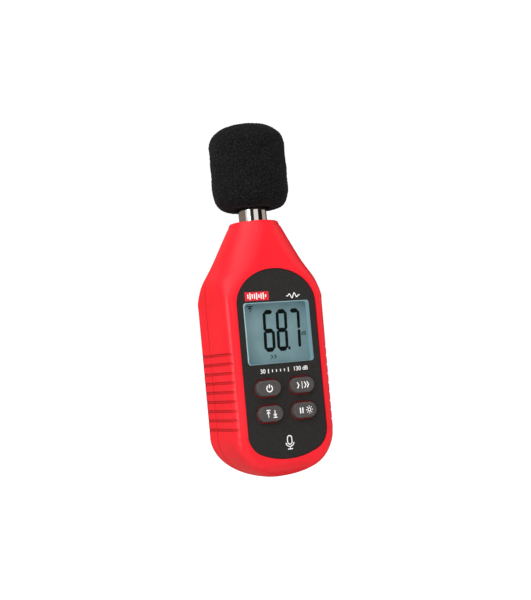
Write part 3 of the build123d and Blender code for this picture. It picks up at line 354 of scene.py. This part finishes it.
# ---- flat prints ----
def stroke(points, width, closed=False):
    """Outline of a line of even width through points in X and Z: each point is moved to both sides along
    the normal of its two neighbours, by half the width over the cosine of half the turn. At a sharp turn
    it moves by the width at most."""
    sharpest = 0.5
    path = np.asarray(points, float)
    if closed:
        before, after = np.roll(path, 1, axis=0), np.roll(path, -1, axis=0)
    else:
        before = np.vstack([2 * path[0] - path[1], path[:-1]])
        after = np.vstack([path[1:], 2 * path[-1] - path[-2]])
    into = (path - before) / np.linalg.norm(path - before, axis=1)[:, None]
    out = (after - path) / np.linalg.norm(after - path, axis=1)[:, None]
    along = into + out
    along /= np.linalg.norm(along, axis=1)[:, None]
    normal = np.stack([-along[:, 1], along[:, 0]], axis=1)
    reach = width / 2 / np.clip((along * into).sum(axis=1), sharpest, 1)
    return path + normal * reach[:, None], path - normal * reach[:, None], closed


def arc(x, z, radius, start, end, steps=20):
    """Points along an arc, angles in degrees from +X towards +Z."""
    turn = np.radians(np.linspace(start, end, steps))
    return np.stack([x + radius * np.cos(turn), z + radius * np.sin(turn)], axis=1)


def print_piece(name, strokes, y, material, body, rise=PRINT_RISE):
    """Raised print: each stroke is a closed band, its face at y - rise and its back at y, all in mm."""
    points, faces, base = [], [], 0
    for left, right, closed in strokes:
        n = len(left)
        flat = np.vstack([left, right])
        for depth in (y - rise, y):
            points.append(np.stack([flat[:, 0], np.full(2 * n, depth), flat[:, 1]], axis=1))
        for i in range(n if closed else n - 1):
            j = (i + 1) % n
            a, b, c, d = base + i, base + j, base + n + j, base + n + i
            faces += [(a, b, c, d), (a + 2 * n, d + 2 * n, c + 2 * n, b + 2 * n),
                      (a, a + 2 * n, b + 2 * n, b), (d, c, c + 2 * n, d + 2 * n)]
        if not closed:
            first, last = base, base + n - 1
            faces += [(first, first + n, first + 3 * n, first + 2 * n),
                      (last, last + 2 * n, last + 3 * n, last + n)]
        base += 4 * n
    made = mesh_object(name, np.vstack(points) * MM, faces, material, smooth=False)
    outward(made)
    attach(made, body)


def outward(made):
    """Turns every face of a closed mesh to point out of it."""
    shape = bmesh.new()
    shape.from_mesh(made.data)
    bmesh.ops.recalc_face_normals(shape, faces=shape.faces)
    shape.to_mesh(made.data)
    shape.free()


def written(name, words, x, y, z, height, material):
    """Generic figures and units as a raised print on the housing. height is the figures' height in mm."""
    height_share, weight_share = 0.72, 0.012
    curve = bpy.data.curves.new(name, "FONT")
    curve.body = words
    curve.size = height / height_share * MM
    curve.extrude = PRINT_RISE / 2 * MM
    curve.offset = weight_share * height * MM
    curve.align_x = "CENTER"
    curve.align_y = "CENTER"
    typed = bpy.data.objects.new(name + "_type", curve)
    bpy.context.scene.collection.objects.link(typed)
    bpy.context.view_layer.update()
    evaluated = typed.evaluated_get(bpy.context.evaluated_depsgraph_get())
    mesh = bpy.data.meshes.new_from_object(evaluated)
    bpy.data.objects.remove(typed)
    mesh.name = name
    place = Matrix.Translation(Vector((x, y - PRINT_RISE / 2, z)) * MM)
    mesh.transform(place @ Matrix.Rotation(math.pi / 2, 4, "X"))
    mesh.materials.clear()
    mesh.materials.append(material)
    made = bpy.data.objects.new(name, mesh)
    bpy.context.scene.collection.objects.link(made)
    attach(made, "housing")


def middle(node):
    """Centre of a CAD node's box, in mm."""
    low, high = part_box(node)
    return (low + high) / 2 / MM


def front(node):
    """Y of a CAD node's front, in mm."""
    return (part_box(node)[0] / MM).y


# ---- windscreen ----
def lumps(points, size, seed):
    """Smooth noise of about unit height: a sum of sines of k.x + phase, whose wave vectors k point in
    random directions and have lengths of 2 pi over about the size."""
    random = np.random.default_rng(seed)
    total = np.zeros(len(points))
    waves, shortest, longest = 26, 0.7, 1.5
    for _ in range(waves):
        way = random.normal(size=3)
        way *= 2 * math.pi / (size * random.uniform(shortest, longest) * np.linalg.norm(way))
        total += np.sin(points @ way + random.uniform(0, 2 * math.pi))
    return total / math.sqrt(waves)


# Lumps of the foam: height in mm, size in mm, seed. Two are its cells, one is the slow bulging of its side.
FOAM_LUMPS = ((0.11, 1.0, 3), (0.07, 0.55, 5), (0.10, 9.0, 8))


def windscreen_profile():
    """Half section of the windscreen as radius and height in mm, with the number of its points that lie in
    the bore. From the bore's end it runs down the bore, flares out at the mouth, rounds the lower edge,
    climbs the side, and closes over a dome whose section is a superellipse: radius R cos(t)^(2/p), height
    H sin(t)^(2/p)."""
    low, high = (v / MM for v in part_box("windscreen"))
    tube_low, tube_high = (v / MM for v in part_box("mic_tube"))
    side_room, foot_room, top_room, tube_room, end_room = 0.25, 0.2, 0.3, 0.12, 0.3
    radius = (high.x - low.x) / 2 - side_room
    bottom, top = low.z + foot_room, high.z - top_room
    grip = (tube_high.x - tube_low.x) / 2 + tube_room
    bore_end = tube_high.z + end_room
    dome_height, power, edge_wide, edge_tall, mouth, mouth_depth = 11.0, 2.4, 6.0, 9.0, 9.6, 3.4
    pole = 0.01
    end_points, bore_points = 8, 30

    def run(a, b, n):
        return np.linspace(a, b, n, endpoint=False)

    flare = run(0, math.pi / 2, 14)
    edge = run(-math.pi / 2, 0, 26)
    dome = np.linspace(0, math.pi / 2, 70)
    profile = np.vstack([
        run((pole, bore_end), (grip, bore_end), end_points),
        run((grip, bore_end), (grip, bottom + mouth_depth), bore_points),
        np.stack([grip + (mouth - grip) * (1 - np.cos(flare)),
                  bottom + mouth_depth * (1 - np.sin(flare))], axis=1),
        run((mouth, bottom), (radius - edge_wide, bottom), 8),
        np.stack([radius - edge_wide + edge_wide * np.cos(edge),
                  bottom + edge_tall + edge_tall * np.sin(edge)], axis=1),
        run((radius, bottom + edge_tall), (radius, top - dome_height), 60),
        np.stack([radius * np.cos(dome) ** (2 / power),
                  top - dome_height + dome_height * np.sin(dome) ** (2 / power)], axis=1),
    ])
    profile[-1, 0] = pole
    return profile, end_points + bore_points


def windscreen():
    """Foam windscreen, its profile turned round the tube: x = r cos(a), y = r sin(a). The lumps then move
    each point along the profile's normal. They fade towards the poles and leave the bore smooth."""
    centre_y = middle("windscreen").y
    profile, bore_rows = windscreen_profile()
    rows, columns = len(profile), 380
    around = np.linspace(0, 2 * math.pi, columns, endpoint=False)
    x = profile[:, 0][:, None] * np.cos(around)
    y = profile[:, 0][:, None] * np.sin(around) + centre_y
    z = np.repeat(profile[:, 1][:, None], columns, axis=1)
    points = np.stack([x, y, z], axis=2).reshape(-1, 3)
    slope = np.gradient(profile, axis=0)
    slope /= np.linalg.norm(slope, axis=1)[:, None] + 1e-9
    out = np.stack([slope[:, 1][:, None] * np.cos(around), slope[:, 1][:, None] * np.sin(around),
                    np.repeat(-slope[:, 0][:, None], columns, axis=1)], axis=2).reshape(-1, 3)
    fade_radius = 3.0
    ease = np.clip(profile[:, 0] / fade_radius, 0, 1) * (np.arange(rows) > bore_rows)
    cells = sum(height * lumps(points, size, seed) for height, size, seed in FOAM_LUMPS)
    points += out * (np.repeat(ease, columns) * cells)[:, None]
    made = mesh_object("foam_windscreen", points * MM, grid_faces(rows, columns), foam_skin())
    close_poles(made)
    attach(made, "windscreen")
    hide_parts("windscreen")


def close_poles(made):
    """Closes the small holes at both ends of a turned surface and points its faces outwards."""
    shape = bmesh.new()
    shape.from_mesh(made.data)
    bmesh.ops.holes_fill(shape, edges=[e for e in shape.edges if e.is_boundary], sides=0)
    bmesh.ops.triangulate(shape, faces=[f for f in shape.faces if len(f.verts) > 4])
    bmesh.ops.recalc_face_normals(shape, faces=shape.faces)
    shape.to_mesh(made.data)
    shape.free()


# ---- display ----
def rounded_outline(width, height, corner, steps=8):
    """Points round a rectangle with round corners, centred on the origin, anticlockwise."""
    ends = [(width / 2 - corner, height / 2 - corner, 0), (corner - width / 2, height / 2 - corner, 90),
            (corner - width / 2, corner - height / 2, 180), (width / 2 - corner, corner - height / 2, 270)]
    return np.vstack([arc(x, z, corner, a, a + 90, steps) for x, z, a in ends])


def ring_points(rings, centre):
    """Points of rounded rectangles given as (width, height, corner, y), one ring after the other."""
    made = []
    for width, height, corner, y in rings:
        ring = rounded_outline(width, height, corner)
        made.append(np.stack([ring[:, 0] + centre.x, np.full(len(ring), y), ring[:, 1] + centre.z], axis=1))
    return np.vstack(made) * MM, len(made[0])


def display_window():
    """Clear pane: rings of the same rounded rectangle from the bevelled front to the flange behind. The
    front and back are clear, and the sides carry a painted reflection: the display's grey-green is painted
    on them up to the rim."""
    low, high = (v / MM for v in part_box("display_window"))
    bevel, flange_thick = 0.35, 0.8
    flange_wide, flange_tall = WINDOW_WIDE + 2 * WINDOW_FLANGE, WINDOW_TALL + 2 * WINDOW_FLANGE
    step = high.y - flange_thick
    rings = [
        (WINDOW_WIDE - 2 * bevel, WINDOW_TALL - 2 * bevel, low.y), (WINDOW_WIDE, WINDOW_TALL, low.y + bevel),
        (WINDOW_WIDE, WINDOW_TALL, step), (flange_wide, flange_tall, step),
        (flange_wide, flange_tall, high.y),
    ]
    points, n = ring_points([(w, h, WINDOW_CORNER, y) for w, h, y in rings], middle("display_window"))
    faces = grid_faces(len(rings), n).tolist()
    side_faces = len(faces)
    faces += [list(range(n))[::-1], list(range(side_faces, side_faces + n))]
    # Painted reflection: the sides are painted the display's grey-green, for the display seen in the edge.
    edge = finish("acrylic_edge_painted_display_reflection", {"IOR": 1.49, "Specular IOR Level": 0.3},
                  colour=[(0.3, "#7f9ea4"), (0.7, "#89a7ac")], colour_grain=2.0, rough=(0.3, 0.4, 2.0))
    made = mesh_object("clear_window", points, faces, [clear_acrylic(), edge], smooth=False)
    made.data.polygons.foreach_set("material_index", [1] * side_faces + [0, 0])
    outward(made)
    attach(made, "housing")
    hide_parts("display_window")


def lcd_face():
    """Reflective liquid crystal display: grey-green, with the faint cloudiness of its rear reflector."""
    return finish(
        "grey_green_lcd",
        {"IOR": 1.5, "Specular IOR Level": 0.2},
        colour=[(0.3, "#788e96"), (0.5, "#7f949c"), (0.7, "#869aa2")], colour_grain=9.0,
        rough=(0.35, 0.5, 3.0), bump=(0.3, 0.04, 0.01))


def bar(x0, z0, x1, z1, thick):
    """Display segment: a bar between two corners of a figure, with bevelled ends."""
    tip_share, blunt_share = 0.42, 0.2
    start, end = np.array([x0, z0], float), np.array([x1, z1], float)
    along = (end - start) / np.linalg.norm(end - start)
    side = np.array([-along[1], along[0]]) * thick / 2
    tip = along * thick * tip_share
    blunt = side * blunt_share
    left = np.array([start + blunt, start + tip + side, end - tip + side, end + blunt])
    right = np.array([start - blunt, start + tip - side, end - tip - side, end - blunt])
    return left, right, False


SEGMENTS = {"6": "acdefg", "8": "abcdefg", "7": "abc"}


def figure(digit, x, z, wide, tall, thick):
    """Seven-segment figure, slightly slanted, with the middle of its lower left corner at x, z. The level
    segments are thicker than the upright ones."""
    gap, slant, level_share = 0.16, 0.04, 1.35
    half = tall / 2
    ends = {
        "a": (gap, tall, wide - gap, tall), "b": (wide, half + gap, wide, tall - gap),
        "c": (wide, gap, wide, half - gap), "d": (gap, 0, wide - gap, 0), "e": (0, gap, 0, half - gap),
        "f": (0, half + gap, 0, tall - gap), "g": (gap, half, wide - gap, half),
    }
    bars = []
    for name in SEGMENTS[digit]:
        left, right, closed = bar(*ends[name], thick * (level_share if name in "adg" else 1.0))
        lean = [np.stack([edge[:, 0] + slant * edge[:, 1] + x, edge[:, 1] + z], axis=1)
                for edge in (left, right)]
        bars.append((*lean, closed))
    return bars


def display_marks():
    """Figures and small generic marks of the display, on the front of the display glass: a peak arrow
    above, two chevrons for a fast response below."""
    centre = middle("lcd_panel")
    black = ink(*PRINT_BLACK)
    y = front("lcd_panel")
    wide, tall, thick, pitch = 4.4, 17.2, 1.5, 6.9
    left, foot = centre.x - 6.0, centre.z - 7.6
    strokes = []
    for i, digit in enumerate("687"):
        strokes += figure(digit, left + i * pitch, foot, wide, tall, thick)
    point = left + 2 * pitch - 1.3
    strokes.append(stroke([(point, foot - 0.6), (point, foot + 0.8)], 1.2))
    thin = 0.4
    top = centre.z + WINDOW_TALL / 2 - 2.6
    side = centre.x - WINDOW_WIDE / 2 + 5.0
    strokes += [stroke([(side - 1.6, top + 1.2), (side + 1.6, top + 1.2)], thin),
                stroke([(side, top - 1.3), (side, top + 0.9)], thin),
                stroke([(side - 0.9, top - 0.1), (side, top + 0.9), (side + 0.9, top - 0.1)], thin)]
    row = foot - 3.3
    for x in (left + 2.8, left + 4.62):
        strokes.append(stroke([(x - 0.5, row - 0.9), (x + 0.5, row), (x - 0.5, row + 0.9)], 0.38))
    print_piece("display_segments", strokes, y, black, "housing")
    unit_x, unit_z = centre.x + WINDOW_WIDE / 2 - 2.6, centre.z - 1.2
    written("display_unit", "dB", unit_x, y, unit_z, 1.9, black)


def painted_display_reflection_sleeve():
    """Sleeve just inside the window's edge, down to the display glass. It is a painted reflection that
    glows: it stands for the display's image carried up the polished edge by total reflection, so it glows
    with the display's colour, though it is no lamp."""
    thin, gap, lip, glass_gap = 0.04, 0.14, 0.4, 0.01
    start, end = front("display_window") + lip, front("lcd_panel") - glass_gap
    rings = [(WINDOW_WIDE - 2 * inset, WINDOW_TALL - 2 * inset, WINDOW_CORNER - inset, y)
             for inset, y in ((gap, start), (gap, end), (gap + thin, end), (gap + thin, start))]
    points, n = ring_points(rings, middle("display_window"))
    faces = grid_faces(4, n).tolist()
    faces += [(3 * n + i, 3 * n + (i + 1) % n, (i + 1) % n, i) for i in range(n)]
    # Painted reflection: a flat glow of the display's colour over a near-black base.
    glow = finish("display_edge_painted_reflection_glow", {"Emission Color": paint("#7596a0"), "Emission Strength": 1.0},
                  colour=[(0.3, "#10181a"), (0.7, "#141c1e")], colour_grain=3.0, rough=(0.6, 0.7, 3.0))
    made = mesh_object("painted_display_reflection_sleeve", points, faces, glow, smooth=False)
    outward(made)
    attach(made, "housing")


# ---- face prints ----
def key_icon(key, x, z):
    """Generic icon on a key: power; slow and fast chevrons; peak and trough; hold bars beside a lamp."""
    thin = 0.42
    if key == "power_key":
        return [stroke(arc(x, z - 0.15, 1.45, 120, 420, 26), 0.5), stroke([(x, z), (x, z + 1.75)], 0.5)]
    if key == "response_key":
        return [stroke([(x + s - 0.85, z - 1.4), (x + s, z), (x + s - 0.85, z + 1.4)], 0.5)
                for s in (-2.3, 1.5, 2.9)] + [stroke([(x - 0.6, z - 1.7), (x - 0.6, z + 1.7)], 0.3)]
    if key == "peak_key":
        marks = []
        for side, way in ((-1.7, 1), (1.7, -1)):
            marks += [stroke([(x + side - 1.0, z + 1.7 * way), (x + side + 1.0, z + 1.7 * way)], thin),
                      stroke([(x + side, z - 1.5 * way), (x + side, z + 1.2 * way)], thin),
                      stroke([(x + side - 0.8, z + 0.2 * way), (x + side, z + 1.2 * way),
                              (x + side + 0.8, z + 0.2 * way)], thin)]
        return marks
    lamp = x + 2.1
    rays = [stroke([(lamp + near * math.cos(a), z + near * math.sin(a)) for near in (1.25, 1.85)], 0.34)
            for a in np.linspace(0, 2 * math.pi, 8, endpoint=False)]
    bars = [stroke([(x + side, z - 1.3), (x + side, z + 1.3)], 0.62) for side in (-2.7, -1.4)]
    return bars + [stroke(arc(lamp, z, 0.75, 0, 360, 20)[:-1], 0.36, closed=True)] + rays


def key_prints(white):
    """White icons on the keys. Each rides with its key."""
    for key in KEYS:
        place = middle(key)
        print_piece(key.replace("key", "icon"), key_icon(key, place.x, place.z), front(key) + PRINT_BITE,
                    white, key)


def badge(y, white):
    """Red badge with sound bars, whose heights follow the size of a sine."""
    window = middle("display_window")
    x, z = window.x - WINDOW_WIDE / 2 + 7.4, window.z + WINDOW_TALL / 2 + 2.9
    half, tall = 6.2, 4.0
    print_piece("badge_plate", [stroke([(x - half, z), (x + half, z)], tall)], y, ink(*PRINT_RED), "housing")
    heights = 0.45 + 1.1 * np.abs(np.sin(np.arange(9) * 1.1 + 0.5))
    first, pitch, thick = x - 4.6, 1.15, 0.55
    bars = [stroke([(first + pitch * i, z - h), (first + pitch * i, z + h)], thick)
            for i, h in enumerate(heights)]
    print_piece("badge_bars", bars, y - PRINT_RISE, white, "housing", rise=0.02)


def sound_wave(y, white):
    """Short sound wave: a sine that swells in the middle as a cosine does, z = h sin(k x) cos(pi x / 2w)."""
    window = middle("display_window")
    x, z = window.x + WINDOW_WIDE / 2 - 8.2, window.z + WINDOW_TALL / 2 + 2.4
    half, height, turns = 3.6, 1.15, 2.3
    along = np.linspace(-half, half, 40)
    swell = height * np.cos(along / half * math.pi / 2)
    wave = np.stack([x + along, z + swell * np.sin(along * turns)], axis=1)
    print_piece("wave_mark", [stroke(wave, 0.42)], y, white, "housing")


def level_scale(y, white):
    """Scale of sound levels under the window, with its end values."""
    window = middle("display_window")
    z = window.z - WINDOW_TALL / 2 - 3.2
    first, pitch, last = window.x - 7.4, 2.1, 5
    ticks = []
    for i in range(last + 1):
        x, tall = first + pitch * i, 1.0 if i in (0, last) else 0.6
        ticks.append(stroke([(x, z - tall), (x, z + tall)], 0.4))
    print_piece("level_scale", ticks, y, white, "housing")
    written("scale_30", "30", window.x - 10.3, y, z, 2.0, white)
    written("scale_130", "130 dB", window.x + 9.6, y, z, 2.0, white)


def microphone_mark(y, white):
    """Microphone at the label's foot: capsule, cradle, stem and base."""
    x = middle("display_window").x + 0.4
    z = (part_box("face_label")[0] / MM).z + 7.6
    thin, radius, cradle = 0.42, 1.15, 2.15
    capsule = np.vstack([arc(x, z + 1.4, radius, 0, 180, 12), arc(x, z - 0.2, radius, 180, 360, 12)])
    marks = [stroke(capsule, 0.45, closed=True), stroke(arc(x, z - 0.2, cradle, 190, 350, 16), thin),
             stroke([(x, z - 2.35), (x, z - 3.3)], thin),
             stroke([(x - 1.3, z - 3.45), (x + 1.3, z - 3.45)], thin)]
    print_piece("mic_mark", marks, y, white, "housing")


def label_prints(white):
    """Generic prints on the face label: a badge, a sound wave, a level scale and a microphone."""
    y = front("face_label") + PRINT_BITE
    badge(y, white)
    sound_wave(y, white)
    level_scale(y, white)
    microphone_mark(y, white)


# ---- camera, floor and light ----
def add_camera():
    """Camera at the left of the display, a little below its middle, rolled so that the meter leans left."""
    across, rise, away = 5.061 * MM, -29.134 * MM, 489.6 * MM
    yaw, pitch, roll = (math.radians(a) for a in (30.0, 3.34, 5.19))
    right = Vector((math.cos(yaw), -math.sin(yaw), 0))
    ahead = Vector((math.sin(yaw) * math.cos(pitch), math.cos(yaw) * math.cos(pitch), math.sin(pitch)))
    up = Vector((-math.sin(yaw) * math.sin(pitch), -math.cos(yaw) * math.sin(pitch), math.cos(pitch)))
    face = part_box("front_shell")[0]
    window_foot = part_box("display_window")[0].z + WINDOW_FLANGE * MM
    aim = Vector((0, face.y, window_foot))
    place = aim - right * across - up * rise - ahead * away
    turned_right = right * math.cos(roll) - up * math.sin(roll)
    turned_up = up * math.cos(roll) + right * math.sin(roll)
    data = bpy.data.cameras.new("camera")
    data.lens = 64.63
    data.sensor_width = 36
    camera = bpy.data.objects.new("camera", data)
    camera.matrix_world = Matrix((
        (turned_right.x, turned_up.x, -ahead.x, place.x),
        (turned_right.y, turned_up.y, -ahead.y, place.y),
        (turned_right.z, turned_up.z, -ahead.z, place.z),
        (0, 0, 0, 1)))
    bpy.context.scene.collection.objects.link(camera)
    bpy.context.scene.camera = camera


def area_light(name, place, aim, size, power, glossy):
    """Rectangular soft light that faces a point, in metres and watts. A glossy one shows in reflections."""
    data = bpy.data.lights.new(name, "AREA")
    data.shape = "RECTANGLE"
    data.size, data.size_y = size
    data.energy = power
    lamp = bpy.data.objects.new(name, data)
    lamp.visible_glossy = glossy
    lamp.location = place
    lamp.rotation_euler = (aim - place).to_track_quat("-Z", "Y").to_euler()
    bpy.context.scene.collection.objects.link(lamp)


# The room as the object reflects it, by azimuth from -180 to 180 degrees: white panels and dark gaps
# before the object, tan walls behind and beside it. The gap at -60 degrees keeps glare off the display.
ROOM = [(0.0, "#8c7e72"), (0.01, "#ffffff"), (0.115, "#ffffff"), (0.13, "#39322c"), (0.19, "#39322c"),
        (0.205, "#ffffff"), (0.29, "#ffffff"), (0.305, "#241a14"), (0.40, "#241a14"), (0.41, "#c6b8af"),
        (0.53, "#c6b8af"), (0.54, "#40362f"), (0.66, "#40362f"), (0.68, "#8c7e72"), (1.0, "#8c7e72")]

# Soft lights: name, place from the object's middle in metres, size in metres, power in watts, and whether
# it shows in reflections. The strip draws the highlight along the case's front edge.
LIGHTS = [
    ("key_light", (-0.45, -0.65, 0.8), (0.7, 0.7), 8.8, False),
    ("fill_light", (0.7, -0.45, 0.15), (0.5, 0.9), 2.3, False),
    ("side_light", (-0.7, -0.1, 0.7), (0.5, 0.4), 3.4, False),
    ("rim_light", (0.1, 0.8, 0.5), (0.8, 0.5), 3.0, False),
    ("edge_strip", (-0.80, -0.46, 0.0), (0.22, 0.7), 3.4, True),
]


def room():
    """White surroundings for the camera, and a dimmer room with bright walls for light and reflections."""
    world = bpy.data.worlds.new("studio")
    bpy.context.scene.world = world
    world.use_nodes = True
    tree = world.node_tree
    tree.nodes.clear()
    way = add(tree, "ShaderNodeTexCoord").outputs["Generated"]
    split = add(tree, "ShaderNodeSeparateXYZ", {"Vector": way})
    turn = add(tree, "ShaderNodeMath", {0: split.outputs["Y"], 1: split.outputs["X"]}, operation="ARCTAN2")
    share = add(tree, "ShaderNodeMapRange", {
        "Value": turn.outputs["Value"], "From Min": -math.pi, "From Max": math.pi,
    })
    walls = ramp(tree, share.outputs["Result"], ROOM)
    seen = add(tree, "ShaderNodeBackground", {"Color": paint("#ffffff"), "Strength": 1.05})
    lit = add(tree, "ShaderNodeBackground", {"Color": walls, "Strength": 0.8})
    rays = add(tree, "ShaderNodeLightPath")
    mixed = add(tree, "ShaderNodeMixShader", {"Fac": rays.outputs["Is Camera Ray"]})
    tree.links.new(lit.outputs["Background"], mixed.inputs[1])
    tree.links.new(seen.outputs["Background"], mixed.inputs[2])
    add(tree, "ShaderNodeOutputWorld", {"Surface": mixed.outputs["Shader"]})


def pale_floor():
    """Pale floor that glows, low enough to leave the battery door room to slide off."""
    door_travel, room_below, reach = 50 * MM, 5 * MM, 4.0
    z = cad_box[0].z - door_travel - room_below
    floor = bpy.data.materials.new("pale_floor")
    floor.use_nodes = True
    tree = floor.node_tree
    tree.nodes.clear()
    matt = add(tree, "ShaderNodeBsdfDiffuse", {"Color": paint("#8f8f8f")})
    seen = add(tree, "ShaderNodeLightPath").outputs["Is Camera Ray"]
    strength = add(tree, "ShaderNodeMapRange", {"Value": seen, "To Min": 0.65, "To Max": 1.0}).outputs[0]
    glow = add(tree, "ShaderNodeEmission", {"Color": paint("#ffffff"), "Strength": strength})
    both = add(tree, "ShaderNodeAddShader")
    tree.links.new(matt.outputs["BSDF"], both.inputs[0])
    tree.links.new(glow.outputs["Emission"], both.inputs[1])
    add(tree, "ShaderNodeOutputMaterial", {"Surface": both.outputs["Shader"]})
    corners = [(-reach, -reach, z), (reach, -reach, z), (reach, reach, z), (-reach, reach, z)]
    ground = mesh_object("floor", corners, [(0, 1, 2, 3)], floor, smooth=False)
    ground.visible_glossy = False


def studio():
    """The room, its soft lights round the object's middle, and the floor."""
    bpy.context.scene.view_settings.view_transform = "Standard"
    room()
    centre = (cad_box[0] + cad_box[1]) / 2
    for name, place, size, power, glossy in LIGHTS:
        area_light(name, centre + Vector(place), centre, size, power, glossy)
    pale_floor()


# ---- everything in place ----
add_camera()
studio()

abs_red = case_abs()
smooth_copy("front_shell", "case_front", abs_red)
smooth_copy("back_shell", "case_back", abs_red)
smooth_copy("battery_door", "case_door", abs_red)
smooth_copy("face_label", "face_film", label_film())
smooth_copy("mic_tube", "chromed_tube", tube_chrome())
rubber = key_rubber()
for key in KEYS:
    smooth_copy(key, key.replace("key", "keytop"), rubber)

looks = {slot: plain_finish(*values) for slot, values in PLAIN_FINISHES.items()}
looks["lcd_glass"] = lcd_face()
looks["tube_chrome"] = tube_chrome()
looks["rear_label_film"] = rear_film()
for row in frame["record"]["subparts"]:
    shown = frame["nodes"][row["node"]]
    look = looks.get(row["material_slot"])
    if look and not shown.hide_render:
        shown.data.materials.clear()
        shown.data.materials.append(look)

windscreen()
display_window()
painted_display_reflection_sleeve()
display_marks()
print_white = ink(*PRINT_WHITE)
key_prints(print_white)
label_prints(print_white)
